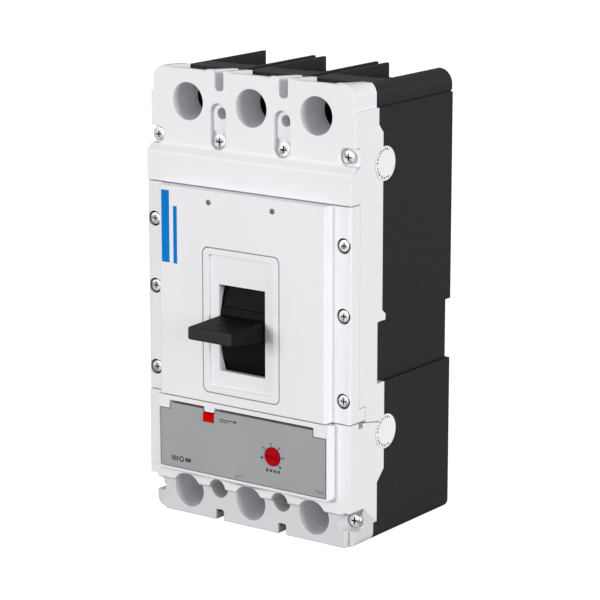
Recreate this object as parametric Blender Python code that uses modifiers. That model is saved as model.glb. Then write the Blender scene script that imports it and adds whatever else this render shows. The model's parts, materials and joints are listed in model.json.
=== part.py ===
"""Three-pole moulded case circuit breaker.

It stands upright with its line end up and its front towards -Y. The origin is the middle of the flat
back face. Sizes are in millimetres, and every height is counted from the bottom (load) end.
"""

import math

import bmesh
import bpy
from mathutils import Matrix, Vector

MM = 0.001
WIDTH, HEIGHT = 139.2, 257.3
HALF = WIDTH / 2
PITCH = 43.7
POLES = {"a": -PITCH, "b": 0.0, "c": PITCH}
BETWEEN_POLES = (-PITCH / 2, PITCH / 2)
GAP = 0.3

# Front planes, as Y.
PANEL, STRIP, DECK = -105.4, -99.5, -90.5
LINE_FACE, LOAD_FACE = -95.3, -97.0
POCKET_FLOOR, PANEL_INSIDE = -103.1, -100.2

# Heights of the seams and of the housing's own steps.
LOAD_SEAM, LINE_SEAM = 71.3, 192.05
BASE_TOP, ROOF_LOW, SHOULDER = 254.8, 246.5, 242.2
COVER_NARROW, BASE_NARROW = 68.0, 69.1
INNER_WALL = 61.0
PARTITION = 1.75
TERMINAL_Z = {"line": 238.2, "load": 14.3}
ACCESS_RADIUS = {"line": 10.7, "load": 10.4}
TUBE_END = {"line": -72.2, "load": -70.8}
RECESS_X, RECESS_Z, RECESS_FRONT = 66.4, (89.5, 124.0), -73.5

# Fasteners. The line end's screws and their pockets sit a little to the left of the symmetric places.
ACCESSORY_SCREWS = (170.4, 131.7, 84.35)
ACCESSORY_SCREW_X = 64.8
LINE_SHIFT = -1.0
LINE_SCREWS = tuple(x + LINE_SHIFT for x in BETWEEN_POLES)
CORNER_SCREWS = (LINE_SHIFT - 64.7, LINE_SHIFT + 64.7)
POST_SCREW_Z, CORNER_SCREW_Z, LOAD_SCREW = 217.3, 217.6, (65.3, 14.0)
MOUNT_Z, MOUNT_RADIUS = (233.0, 19.0), 3.2

# Moving parts, as (Y, height) in the middle plane of a pole.
HANDLE_PIVOT = (-37.0, 115.0)
CROSSBAR_AXIS = (-40.0, 135.0)
TRIP_BAR_AXIS = (-36.0, 76.0)
CROSSBAR_RADIUS = 8.0
REST_OPENING = math.radians(11.6)
CRADLE_PIN = (-46.0, 103.0)
ARM_PIN_REACH, ARM_PIN_DROP = 12.0, math.radians(-8.0)
LINK_LENGTH = 19.74
COIL_STEPS = 7
SHIELD_RADII, SHIELD_HALF_ANGLE = (62.8, 65.3), math.radians(37.0)
DIAL_CENTRE = (21.5, 47.0)
BUTTON_X, BUTTON_Z = (-26.5, -19.6), (59.8, 64.7)
STEM_X, STEM_Z = -25.9, 62.25

COLOURS = {
    "cover_white": ((0.82, 0.81, 0.83), 0.42, 0.0),
    "base_black": ((0.028, 0.026, 0.029), 0.5, 0.0),
    "toggle_black": ((0.018, 0.017, 0.018), 0.38, 0.0),
    "plate_grey": ((0.36, 0.37, 0.37), 0.45, 0.0),
    "button_red": ((0.65, 0.01, 0.01), 0.35, 0.0),
    "label_grey": ((0.5, 0.5, 0.5), 0.5, 0.0),
    "zinc_steel": ((0.6, 0.6, 0.58), 0.35, 1.0),
    "spring_steel": ((0.4, 0.4, 0.42), 0.3, 1.0),
    "tin_plate": ((0.66, 0.66, 0.64), 0.4, 1.0),
    "copper": ((0.72, 0.36, 0.2), 0.35, 1.0),
    "bimetal": ((0.5, 0.47, 0.42), 0.4, 1.0),
    "crossbar_brown": ((0.09, 0.05, 0.03), 0.5, 0.0),
    "chute_fibre": ((0.35, 0.33, 0.3), 0.7, 0.0),
}

AXES = {"X": Vector((1, 0, 0)), "Y": Vector((0, 1, 0)), "Z": Vector((0, 0, 1))}


def start():
    for item in list(bpy.data.objects):
        bpy.data.objects.remove(item)
    made = {}
    for name in ("molded_case_breaker", "cutters"):
        made[name] = bpy.data.collections.new(name)
        bpy.context.scene.collection.children.link(made[name])
    return made


def materials():
    made = {}
    for name, (colour, roughness, metallic) in COLOURS.items():
        material = bpy.data.materials.new(name)
        material.use_nodes = True
        shader = material.node_tree.nodes["Principled BSDF"]
        shader.inputs["Base Color"].default_value = (*colour, 1)
        shader.inputs["Roughness"].default_value = roughness
        shader.inputs["Metallic"].default_value = metallic
        made[name] = material
    return made


GROUPS = start()
MATERIALS = materials()


# Shapes. A span is (low, high) along the named axis; an outline's corner is (u, v) or (u, v, radius),
# where u and v are Y and height for axis X, X and height for axis Y, and X and Y for axis Z.


def solid(name, bm):
    bmesh.ops.recalc_face_normals(bm, faces=bm.faces)
    mesh = bpy.data.meshes.new(name)
    bm.to_mesh(mesh)
    bm.free()
    made = bpy.data.objects.new(name, mesh)
    made.hide_render = True
    made.display_type = "WIRE"
    GROUPS["cutters"].objects.link(made)
    return made


def place(x, y, z):
    return Vector((x, y, z - HEIGHT / 2)) * MM


def box(name, x, y, z):
    bm = bmesh.new()
    bmesh.ops.create_cube(bm, size=1)
    low, high = place(min(x), min(y), min(z)), place(max(x), max(y), max(z))
    bmesh.ops.scale(bm, vec=high - low, verts=bm.verts)
    bmesh.ops.translate(bm, vec=(low + high) / 2, verts=bm.verts)
    return solid(name, bm)


def onto_axis(axis, at, along):
    """The point in metres that lies at (u, v) across an axis and at one distance along it."""
    u, v = at
    return {"X": place(along, u, v), "Y": place(u, along, v), "Z": place(u, v, along)}[axis]


def rod(name, axis, at, span, radius, sides=24):
    bm = bmesh.new()
    length = abs(span[1] - span[0]) * MM
    bmesh.ops.create_cone(
        bm, cap_ends=True, segments=sides, radius1=radius * MM, radius2=radius * MM, depth=length
    )
    turn = AXES["Z"].rotation_difference(AXES[axis]).to_matrix()
    bmesh.ops.rotate(bm, cent=(0, 0, 0), matrix=turn, verts=bm.verts)
    bmesh.ops.translate(bm, vec=onto_axis(axis, at, sum(span) / 2), verts=bm.verts)
    return solid(name, bm)


def rounded(corners, steps):
    """The outline's points, with an arc at each corner that names a radius."""
    points = []
    for index, (u, v, *radius) in enumerate(corners):
        here = Vector((u, v))
        if not radius:
            points.append(here)
            continue
        before = (Vector(corners[index - 1][:2]) - here).normalized()
        after = (Vector(corners[(index + 1) % len(corners)][:2]) - here).normalized()
        half = before.angle(after) / 2
        centre = here + (before + after).normalized() * radius[0] / math.sin(half)
        first = here + before * radius[0] / math.tan(half) - centre
        last = here + after * radius[0] / math.tan(half) - centre
        turn = math.atan2(first.cross(last), first.dot(last))
        for step in range(steps + 1):
            points.append(centre + Matrix.Rotation(turn * step / steps, 2) @ first)
    return points


def prism(name, axis, corners, span, steps=4):
    curve = bpy.data.curves.new(name, "CURVE")
    curve.dimensions = "2D"
    curve.fill_mode = "BOTH"
    curve.extrude = abs(span[1] - span[0]) / 2 * MM
    outline = rounded(corners, steps)
    spline = curve.splines.new("POLY")
    spline.points.add(len(outline) - 1)
    for point, (u, v) in zip(spline.points, outline):
        point.co = (u * MM, v * MM, 0, 1)
    spline.use_cyclic_u = True
    flat = bpy.data.objects.new(name, curve)
    mesh = bpy.data.meshes.new_from_object(flat)
    bpy.data.objects.remove(flat)
    bm = bmesh.new()
    bm.from_mesh(mesh)
    bmesh.ops.remove_doubles(bm, verts=bm.verts, dist=1e-6)
    columns = {"X": ("Y", "Z", "X"), "Y": ("X", "Z", "Y"), "Z": ("X", "Y", "Z")}[axis]
    turn = Matrix([AXES[column] for column in columns]).transposed().to_4x4()
    bmesh.ops.transform(bm, matrix=turn, verts=bm.verts)
    bmesh.ops.translate(bm, vec=onto_axis(axis, (0, 0), sum(span) / 2), verts=bm.verts)
    return solid(name, bm)


def capsule(start_at, end_at, radius, steps=6):
    """The outline of a flat bar with round ends, round two centres."""
    start_at, end_at = Vector(start_at), Vector(end_at)
    along = (end_at - start_at).normalized() * radius
    points = []
    for centre, first in ((end_at, -math.pi / 2), (start_at, math.pi / 2)):
        for step in range(steps + 1):
            turn = Matrix.Rotation(first + math.pi * step / steps, 2)
            points.append(tuple(centre + turn @ along))
    return points


def arc_plate(name, radii, low, high, span, steps=12):
    """A curved plate round the handle's pivot, between two angles above the straight-ahead line."""
    points = []
    for radius, order in ((radii[0], range(steps + 1)), (radii[1], range(steps, -1, -1))):
        for step in order:
            angle = low + (high - low) * step / steps
            along, up = radius * math.cos(angle), radius * math.sin(angle)
            points.append((HANDLE_PIVOT[0] - along, HANDLE_PIVOT[1] + up))
    return prism(name, "X", points, span)


def turned(name, x, z, profile, sides=20):
    """A round piece on a front-to-back axis, from its (radius, Y) profile, front to back."""
    mesh = bpy.data.meshes.new(name)
    points = [(radius * MM, 0, -y * MM) for radius, y in profile]
    mesh.from_pydata(points, [(i, i + 1) for i in range(len(points) - 1)], [])
    made = bpy.data.objects.new(name, mesh)
    made.location = place(x, 0, z)
    made.rotation_euler = (math.pi / 2, 0, 0)
    GROUPS["cutters"].objects.link(made)
    screw = made.modifiers.new("Turn", "SCREW")
    screw.steps = screw.render_steps = sides
    screw.use_merge_vertices = True
    screw.merge_threshold = 1e-5
    screw.use_smooth_shade = False
    return made


def combine(body, operation, *tools):
    group = bpy.data.collections.new(f"{body.name} {operation.lower()} {len(body.modifiers)}")
    GROUPS["cutters"].children.link(group)
    for tool in tools:
        GROUPS["cutters"].objects.unlink(tool)
        group.objects.link(tool)
    modifier = body.modifiers.new(operation.title(), "BOOLEAN")
    modifier.operation = operation
    modifier.solver = "EXACT"
    if operation == "INTERSECT":
        modifier.object = tools[0]
    else:
        modifier.operand_type = "COLLECTION"
        modifier.collection = group
    return body


def part(body, material, pivot=None, turn=0.0):
    """Makes a shape one of the breaker's pieces. A moving piece gets its origin on its joint's axis."""
    GROUPS["cutters"].objects.unlink(body)
    GROUPS["molded_case_breaker"].objects.link(body)
    body.hide_render = False
    body.display_type = "TEXTURED"
    body.data.materials.append(MATERIALS[material])
    if pivot is None:
        return body
    body.data.transform(Matrix.Translation(-pivot))
    body.location = pivot
    body.rotation_euler.x = turn
    for modifier in body.modifiers:
        tools = modifier.collection.objects if modifier.collection else [modifier.object]
        for tool in tools:
            tool.parent = body
            tool.matrix_parent_inverse = Matrix.Translation(-pivot)
    return body


def on_both_sides(make):
    """What a function of the side, -1 or 1, makes on the left and on the right."""
    return [make(side) for side in (-1, 1)]


# The housing.


def end_outline(top, narrow):
    """The housing seen from the front: a rectangle with round corners, narrower above its shoulders."""
    right = [(HALF, 0, 5.0), (HALF, SHOULDER), (narrow, SHOULDER), (narrow, top, 8.5)]
    return right + [(-u, *rest) for u, *rest in reversed(right)]


def housing_prism(name):
    return prism(name, "Y", end_outline(HEIGHT, COVER_NARROW), (-130, 20))


def barrier_slots(half):
    """Slots between the poles, open at each end of the housing, that hold interphase barriers.
    half is half the width of a slot at the line end."""
    made = []
    for x in BETWEEN_POLES:
        line = [(x - half, 245.7, 2.2), (x + half, 245.7, 2.2), (x + half, 270), (x - half, 270)]
        load = [(x - 2.8, 6.3, 1.2), (x + 2.8, 6.3, 1.2), (x + 2.8, -9), (x - 2.8, -9)]
        made += [prism("barrier slot", "Y", corners, (-130, 20)) for corners in (line, load)]
    return made


def side_recesses(inner, front):
    """A shallow recess on each side, where the base shows a tongue in a notch of the main cover."""
    return on_both_sides(
        lambda side: box("side recess", (side * inner, side * 80), (20, front), RECESS_Z)
    )


def mounting_holes():
    return [
        rod("mounting hole", "Y", (x, z), (-130, 20), MOUNT_RADIUS, 12)
        for x in BETWEEN_POLES
        for z in MOUNT_Z
    ]


def base_housing():
    side = [(20, 0), (-76, 0), (-76, 10), (-72.6, 10), (-72.6, 32.9), (-66.2, 39.3)]
    low, high, tongue = RECESS_Z[0] + GAP, RECESS_Z[1] - GAP, RECESS_FRONT + GAP
    side += [(-66.2, low), (tongue, low), (tongue, high), (-65.5, high), (-65.5, 127.7)]
    side += [(-68.5, 130), (-68.5, 228.3), (-72.8, 233.1), (-72.8, 270), (20, 270)]
    body = prism("base_housing", "Y", end_outline(BASE_TOP, BASE_NARROW), (-90, 0))
    combine(body, "INTERSECT", prism("base side", "X", side, (-90, 90)))

    ceiling = [(-6, 4), (-6, 243), (-55, 251.4), (-90, 251.4), (-90, 4)]
    lanes = [(x - PITCH / 2 + PARTITION, x + PITCH / 2 - PARTITION) for x in POLES.values()]
    lanes[0] = (-INNER_WALL, lanes[0][1])
    lanes[2] = (lanes[2][0], INNER_WALL)
    combine(body, "DIFFERENCE", *[prism("pole chamber", "X", ceiling, lane) for lane in lanes])

    added = []
    for x in BETWEEN_POLES:
        added.append(box("load barrier rail", (x - 4.5, x + 4.5), (-0.5, -72.3), (0.5, 10.5)))
        added.append(box("line barrier rail", (x - 4.85, x + 4.85), (-0.5, -72.5), (241, 254.5)))
        added += [rod("mounting boss", "Y", (x, z), (-0.5, -68.3), 6.0, 16) for z in MOUNT_Z]
    added += [rod("screw boss", "Y", (x, POST_SCREW_Z), (-0.5, -68.2), 5.0, 12) for x in LINE_SCREWS]
    combine(body, "UNION", *added)

    cut = barrier_slots(2.45) + side_recesses(RECESS_X, -130) + mounting_holes()
    roof = [(-55, BASE_TOP), (-6, ROOF_LOW), (20, ROOF_LOW), (20, 270), (-55, 270)]
    for edges in ((-60, -26.7), (-17, 17), (26.7, 60)):
        cut.append(prism("sloping roof", "X", roof, edges))
    for x in POLES.values():
        cut.append(box("line conductor entry", (x - 10.5, x + 10.5), (-54, -20), (238, 270)))
        cut.append(box("load conductor entry", (x - 10.5, x + 10.5), (-56, -20), (-10, 8)))
        cut.append(box("access tube relief", (x - 13.2, x + 13.2), (-90, TUBE_END["load"] + 0.6), (1.2, 8)))
    cut.append(box("crossbar slot", (-60.5, 60.5), (-28, -130), (122, 150)))
    cut.append(box("trip bar slot", (-60.5, 60.5), (-28, -130), (56, 88)))
    cut += [rod("post screw hole", "Y", (x, POST_SCREW_Z), (-52, -130), 2.35, 8) for x in LINE_SCREWS]
    cut += [rod("corner screw hole", "Y", (x, CORNER_SCREW_Z), (-54, -130), 1.9, 8) for x in CORNER_SCREWS]
    for x in (-LOAD_SCREW[0], LOAD_SCREW[0]):
        cut.append(rod("load screw hole", "Y", (x, LOAD_SCREW[1]), (-54, -130), 1.5, 8))
    combine(body, "DIFFERENCE", *cut)
    return part(body, "base_black")


def main_cover():
    side = [(-66.5, 67.9), (-72.6, 67.9), (DECK, 71.1), (DECK, 192.35), (STRIP, 192.35)]
    side += [(STRIP, 209.5), (LINE_FACE, 213), (LINE_FACE, HEIGHT), (-73.1, 255.4), (-73.1, 233.3)]
    side += [(-68.8, 228.5), (-68.8, 130.2), (-65.8, 127.9), (-65.8, 124.1), (-66.5, 124.1)]
    body = prism("main_cover", "X", side, (-90, 90))
    combine(body, "INTERSECT", housing_prism("cover outline"))

    hollow = [(-60, 50), (-87.5, 50), (-87.5, 189), (-96.2, 192), (-96.2, 208), (-92, 211.5)]
    hollow += [(-92, 253.3), (-60, 251)]
    inside = (-INNER_WALL, INNER_WALL)
    combine(body, "DIFFERENCE", prism("cover hollow", "X", hollow, inside))

    opened = [box("open top", (x - 15, x + 15), (-92.3, -60), (244, 270)) for x in POLES.values()]
    combine(body, "DIFFERENCE", *opened)

    line_z, line_radius = TERMINAL_Z["line"], ACCESS_RADIUS["line"]
    added = [
        rod("access tube", "Y", (x, line_z), (TUBE_END["line"], -93.5), line_radius + 1.5, 20)
        for x in POLES.values()
    ]
    for x in LINE_SCREWS:
        added.append(box("screw post", (x - 6.6, x + 6.6), (-73.6, -93.5), (210.5, 254.8)))
    added += on_both_sides(
        lambda side: box("pocket back", (side * 56.5, side * 62), (-89, -93), (211, 225.5))
    )
    combine(body, "UNION", *added)

    cut = barrier_slots(3.1) + mounting_holes() + side_recesses(INNER_WALL - 1, RECESS_FRONT)
    for x in POLES.values():
        cut.append(rod("access hole", "Y", (x, line_z), (-130, -60), line_radius, 24))
    for x in LINE_SCREWS:
        upper = [(x - 5.65, 222.6), (x + 5.65, 222.6), (x + 5.65, 238.8, 5.5), (x - 5.65, 238.8, 5.5)]
        lower = [(x - 5.65, 213, 4.5), (x + 5.65, 213, 4.5), (x + 5.65, 224), (x - 5.65, 224)]
        cut.append(prism("slot, deep end", "Y", upper, (-130, -91.4)))
        cut.append(prism("slot, screw end", "Y", lower, (-130, -91.1)))
        cut.append(rod("post screw hole", "Y", (x, POST_SCREW_Z), (-130, -60), 2.35, 8))
    for x in CORNER_SCREWS:
        edge = math.copysign(80, x)
        inner = x - math.copysign(4.9, x)
        cut.append(box("corner pocket", (inner, edge), (-130, -91.2), (213.1, 223.1)))
        cut.append(rod("corner screw hole", "Y", (x, CORNER_SCREW_Z), (-130, -60), 1.9, 8))
    cut += on_both_sides(
        lambda side: box("tab notch", (side * 66.3, side * 80), (-130, -84.7), (60, 79.1))
    )
    cut += on_both_sides(
        lambda side: box("accessory pocket", (side * 30, side * 56), (-100, -80), (84, 165))
    )
    for z in ACCESSORY_SCREWS:
        for x in (-ACCESSORY_SCREW_X, ACCESSORY_SCREW_X):
            cut.append(rod("accessory screw hole", "Y", (x, z), (-100, -82), 1.75, 8))
    cut.append(box("handle opening", (-20, 20), (-100, -80), (50, 158)))
    combine(body, "DIFFERENCE", *cut)
    return part(body, "cover_white")


def plate_corners(gap, top):
    """The trip unit's faceplate, with notches for two corner tabs and for the tab above the button."""
    low, side, tab = 29.4 - gap, 57.4 + gap, 62.9 + gap
    left_notch, right_notch = -50.4 - gap, 48.8 + gap
    middle_notch, notch_floor = (-26.5 + gap, -18.6 - gap), 65.0 + gap
    right = [(side, low), (side, tab), (right_notch, tab), (right_notch, top)]
    middle = [(middle_notch[1], top), (middle_notch[1], notch_floor)]
    middle += [(middle_notch[0], notch_floor), (middle_notch[0], top)]
    return [*right, *middle, (left_notch, top), (left_notch, tab), (-side, tab), (-side, low)]


def load_end_cover():
    side = [(-76.3, 0), (LOAD_FACE, 0), (LOAD_FACE, 20.6), (STRIP, 21.4), (STRIP, 70.9), (-91, 70.7)]
    side += [(-72.7, 67.5), (-66.5, 67.5), (-66.5, 39.4), (-72.9, 33.0), (-72.9, 10.3), (-76.3, 10.3)]
    body = prism("load_end_cover", "X", side, (-90, 90))
    combine(body, "INTERSECT", housing_prism("cover outline"))
    panel = [(-59.5, 26.8, 3), (59.5, 26.8, 3), (59.5, 70.9), (-59.5, 70.9)]
    combine(body, "UNION", prism("raised panel", "Y", panel, (PANEL, -97)))

    hollow = [(-60, 3.5), (-60, 90), (-96.4, 90), (-96.4, 25), (-94, 21), (-94, 3.5)]
    behind_panel = [(-56, 32), (56, 32), (56, 90), (-56, 90)]
    combine(
        body,
        "DIFFERENCE",
        prism("cover hollow", "X", hollow, (-INNER_WALL, INNER_WALL)),
        prism("panel hollow", "Y", behind_panel, (PANEL_INSIDE, -90)),
    )

    load_z, load_radius = TERMINAL_Z["load"], ACCESS_RADIUS["load"]
    added = [
        rod("access tube", "Y", (x, load_z), (TUBE_END["load"], -95.5), load_radius + 2, 20)
        for x in POLES.values()
    ]
    added += [rod("mounting tube", "Y", (x, MOUNT_Z[1]), (-76.6, -95.5), 7.4, 16) for x in BETWEEN_POLES]
    added.append(box("button guide", (-30, -17.6), (-85.2, -101.5), (55.5, 68.7)))
    combine(body, "UNION", *added)

    cut = barrier_slots(3.1)
    cut.append(prism("faceplate pocket", "Y", plate_corners(GAP, 68.2), (-130, POCKET_FLOOR)))
    for x in POLES.values():
        cut.append(rod("access hole", "Y", (x, load_z), (-130, -60), load_radius, 24))
    cut += [rod("mounting tube bore", "Y", (x, MOUNT_Z[1]), (-130, -60), 5.7, 16) for x in BETWEEN_POLES]
    cut.append(box("button hole", (-28.4, -18.6), (POCKET_FLOOR - 0.1, -87), (57.6, 66.9)))
    cut.append(rod("stem hole", "Y", (STEM_X, STEM_Z), (-90, -80), 1.75, 8))
    cut.append(rod("dial hole", "Y", DIAL_CENTRE, (-130, -90), 3.3, 16))
    cut += on_both_sides(
        lambda side: box("corner step", (side * 64.4, side * 80), (-130, -88), (-9, 21.2))
    )
    cut += on_both_sides(lambda side: box("catch", (side * 66.5, side * 80), (-91, -87), (67.4, 72)))
    for x in (-LOAD_SCREW[0], LOAD_SCREW[0]):
        cut.append(rod("screw counterbore", "Y", (x, LOAD_SCREW[1]), (-130, -88), 4.3, 16))
        cut.append(rod("screw hole", "Y", (x, LOAD_SCREW[1]), (-90, -60), 1.5, 8))
    combine(body, "DIFFERENCE", *cut)
    return part(body, "cover_white")


def accessory_cover():
    low, high = LOAD_SEAM + GAP, LINE_SEAM - GAP
    profile = [(-HALF, DECK - GAP), (-HALF, STRIP, 2), (-57.5, STRIP), (-57.5, PANEL, 1.2)]
    profile += [(-u, *rest) for u, *rest in reversed(profile)]
    body = prism("accessory_cover", "Z", profile, (low, high))
    combine(
        body,
        "UNION",
        *on_both_sides(
            lambda side: box("tab", (side * 66.6, side * HALF), (-85, -93), (low, 78.8))
        ),
    )
    opening = [(-26.3, 77.2, 3.8), (26.3, 77.2, 3.8), (26.3, 160.1, 3.8), (-26.3, 160.1, 3.8)]
    cut = [
        box("hollow", (-59, 59), (-97, -80), (74.5, 189.3)),
        box("panel hollow", (-55, 55), (-102.9, -90), (74.5, 188)),
        prism("escutcheon opening", "Y", opening, (-130, -95)),
    ]
    for z in ACCESSORY_SCREWS:
        for x in (-ACCESSORY_SCREW_X, ACCESSORY_SCREW_X):
            cut.append(rod("counterbore", "Y", (x, z), (-130, -96.8), 4.1, 16))
            cut.append(rod("screw hole", "Y", (x, z), (-130, -80), 1.75, 8))
    combine(body, "DIFFERENCE", *cut)
    return part(body, "cover_white")


def toggle_escutcheon():
    outline = [(-26, 77.5, 3.5), (26, 77.5, 3.5), (26, 159.8, 3.5), (-26, 159.8, 3.5)]
    recess = [(-22.1, 81.2, 2), (22.1, 81.2, 2), (22.1, 156.4, 2), (-22.1, 156.4, 2)]
    body = prism("toggle_escutcheon", "Y", outline, (-105.6, -101))
    added = on_both_sides(
        lambda side: box("cheek", (side * 15.8, side * 18.6), (-102, -94.5), (88.8, 141.5))
    )
    added.append(box("flange", (-28.5, 28.5), (-102.6, -100.9), (75.2, 162.2)))
    combine(body, "UNION", *added)
    combine(
        body,
        "DIFFERENCE",
        prism("recess", "Y", recess, (-130, -104.1)),
        box("window", (-15.8, 15.8), (-130, -90), (90.5, 139.8)),
        rod("shield relief", "X", HANDLE_PIVOT, (-19, 19), 65.9, 96),
    )
    return part(body, "cover_white")


def trip_unit_faceplate():
    body = prism("trip_unit_faceplate", "Y", plate_corners(0, 66.8), (PANEL + 0.1, POCKET_FLOOR - GAP))
    combine(
        body,
        "DIFFERENCE",
        box("button cut", (-26.8, -19.3), (-130, -90), (59.5, 66)),
        rod("dial hole", "Y", DIAL_CENTRE, (-130, -90), 5.45, 24),
    )
    return part(body, "plate_grey")


def seal_labels():
    for name, at, radius in (("upper", (-67.5, 211.3), 9.5), ("lower", (-65.3, 60.8), 9.75)):
        disc = rod(f"{name}_seal_label", "X", at, (HALF + 0.15, HALF + 0.45), radius, 24)
        part(disc, "label_grey")


# Fasteners.


def cross_screw(name, x, z, front, head, shank, back):
    """A screw with a flat round head, given as (radius, height), and a plain shank down to Y back."""
    seat = front + head[1]
    profile = [(0, front), (head[0], front), (head[0], seat), (shank, seat), (shank, back), (0, back)]
    body = turned(name, x, z, profile, 12)
    arm, half, floor = head[0] * 0.62, 0.55, front + 1.5
    combine(
        body,
        "DIFFERENCE",
        box("recess", (x - arm, x + arm), (front - 3, floor), (z - half, z + half)),
        box("recess", (x - half, x + half), (front - 3, floor), (z - arm, z + arm)),
    )
    return part(body, "zinc_steel")


def cover_screws():
    number = 0
    for z in ACCESSORY_SCREWS:
        for x in (-ACCESSORY_SCREW_X, ACCESSORY_SCREW_X):
            number += 1
            cross_screw(f"accessory_cover_screw_{number}", x, z, -99.2, (3.7, 2.1), 1.35, -84)
    centre, corner, load = (4.2, 2.1), (3.7, 2.0), (3.9, 2.4)
    cross_screw("main_cover_screw_1", LINE_SCREWS[0], POST_SCREW_Z, -93.6, centre, 2.0, -54)
    cross_screw("main_cover_screw_2", LINE_SCREWS[1], POST_SCREW_Z, -93.6, centre, 2.0, -54)
    cross_screw("main_cover_screw_3", CORNER_SCREWS[0], CORNER_SCREW_Z, -93.6, corner, 1.6, -56)
    cross_screw("main_cover_screw_4", CORNER_SCREWS[1], CORNER_SCREW_Z, -93.6, corner, 1.6, -56)
    cross_screw("load_cover_screw_1", -LOAD_SCREW[0], LOAD_SCREW[1], -90.7, load, 1.2, -56)
    cross_screw("load_cover_screw_2", LOAD_SCREW[0], LOAD_SCREW[1], -90.7, load, 1.2, -56)


# Terminals and the current path of each pole.


def terminal(end, pole, x):
    """A box lug, whose window takes the conductor from the end, and its clamping screw."""
    z = TERMINAL_Z[end]
    body = box(f"{end}_lug_{pole}", (x - 11, x + 11), (-61, -31.5), (z - 8.2, z + 8.2))
    combine(
        body,
        "DIFFERENCE",
        box("window", (x - 8.5, x + 8.5), (-57, -34.5), (z - 30, z + 30)),
        rod("thread", "Y", (x, z), (-70, -50), 4.3, 12),
    )
    part(body, "tin_plate")
    profile = [(0, -69), (6.5, -69), (6.5, -62), (4.0, -62), (4.0, -52), (0, -52)]
    screw = turned(f"{end}_lug_screw_{pole}", x, z, profile, 12)
    combine(screw, "DIFFERENCE", rod("hexagon socket", "Y", (x, z), (-75, -65), 3.0, 6))
    part(screw, "zinc_steel")


def line_strap(pole, x):
    """The fixed contact's strap, from inside the line lug to the contact pad."""
    path = [(-37.5, 246.3), (-34.8, 246.3), (-34.8, 221.3), (-24.3, 213.7), (-24.3, 182)]
    path += [(-27.0, 182), (-27.0, 212.2), (-37.5, 219.8)]
    body = prism(f"line_strap_{pole}", "X", path, (x - 7, x + 7))
    combine(body, "UNION", box("contact pad", (x - 4, x + 4), (-30.5, -26.5), (184, 194)))
    return part(body, "copper")


def load_strap(pole, x):
    """The strap from beside the moving arm's hub, down the back and into the load lug."""
    path = [(-12.5, 131), (-12.5, 27), (-34.8, 27), (-34.8, 6), (-37.5, 6), (-37.5, 29.7)]
    path += [(-15.2, 29.7), (-15.2, 128.3), (-28.3, 128.3), (-28.3, 131)]
    return part(prism(f"load_strap_{pole}", "X", path, (x - 6, x + 6)), "copper")


def arc_chute(pole, x):
    """Two fibre walls that carry a stack of slotted plates, with the arm's tip moving in the slots."""
    body = box(f"arc_chute_{pole}", (x - 14.6, x - 13), (-70, -33.5), (176, 209))
    added = [box("wall", (x + 13, x + 14.6), (-70, -33.5), (176, 209))]
    for step in range(6):
        y = -38 - 5.2 * step
        added.append(box("splitter plate", (x - 13.4, x + 13.4), (y - 0.7, y + 0.7), (181, 206)))
    combine(body, "UNION", *added)
    combine(body, "DIFFERENCE", box("slot", (x - 5.5, x + 5.5), (-90, -20), (170, 198)))
    return part(body, "chute_fibre")


def arm_pin(opening):
    """Where the lower link's pin sits, at one opening of the contact arms."""
    angle = math.pi + ARM_PIN_DROP - math.radians(12) + opening
    return (
        CROSSBAR_AXIS[0] + ARM_PIN_REACH * math.cos(angle),
        CROSSBAR_AXIS[1] + ARM_PIN_REACH * math.sin(angle),
    )


def knee_at_rest():
    """The knee of the two equal links, on the front side of the line between their outer pins."""
    low, high = Vector(CRADLE_PIN), Vector(arm_pin(REST_OPENING))
    half = (high - low) / 2
    out = Vector((-half.y, half.x)).normalized()
    return tuple(low + half + out * math.sqrt(LINK_LENGTH**2 - half.length_squared))


def contact_arm(pole, x):
    """The moving contact: drawn closed, then turned open round the crossbar to its rest place."""
    body = rod(f"contact_arm_{pole}", "X", CROSSBAR_AXIS, (x - 3, x + 3), 11, 24)
    bar = capsule((CROSSBAR_AXIS[0], CROSSBAR_AXIS[1] + 6), (-36.5, 190), 4.2)
    added = [
        prism("arm", "X", bar, (x - 2.9, x + 2.9)),
        box("contact tip", (x - 2.8, x + 2.8), (-34, -30.9), (184.5, 192.5)),
    ]
    if pole == "b":
        pin = arm_pin(0)
        added.append(prism("ear", "X", capsule(CROSSBAR_AXIS, pin, 3), (x - 2.7, x + 2.7)))
        added.append(rod("link pin", "X", pin, (0, 6), 1.5, 8))
    combine(body, "UNION", *added)
    combine(body, "DIFFERENCE", rod("bore", "X", CROSSBAR_AXIS, (x - 9, x + 9), CROSSBAR_RADIUS + GAP, 24))
    return part(body, "copper", place(x, *CROSSBAR_AXIS), REST_OPENING)


# The operating mechanism, in the middle pole.


def crossbar():
    body = rod("crossbar", "X", CROSSBAR_AXIS, (-59.5, 59.5), CROSSBAR_RADIUS, 24)
    return part(body, "crossbar_brown", place(0, *CROSSBAR_AXIS))


def mechanism_frame():
    side = [(-22, 86), (-66, 86, 3), (-72, 100, 3), (-72, 150, 3), (-60, 164, 3), (-22, 164)]
    body = prism("mechanism_frame", "X", side, (-15.5, -14))
    combine(
        body,
        "UNION",
        prism("right side", "X", side, (14, 15.5)),
        box("lower back plate", (-15.3, 15.3), (-24, -22.1), (88, 104)),
        box("upper back plate", (-15.3, 15.3), (-24, -22.1), (150, 162)),
    )
    combine(
        body,
        "DIFFERENCE",
        rod("crossbar hole", "X", CROSSBAR_AXIS, (-30, 30), 9.5, 24),
        box("crossbar slot", (-30, 30), (-49.4, -30.6), (135, 180)),
    )
    combine(
        body,
        "UNION",
        *on_both_sides(
            lambda side: rod("handle pivot pin", "X", HANDLE_PIVOT, (side * 14.5, side * 19), 2.5, 16)
        ),
    )
    return part(body, "zinc_steel")


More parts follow.
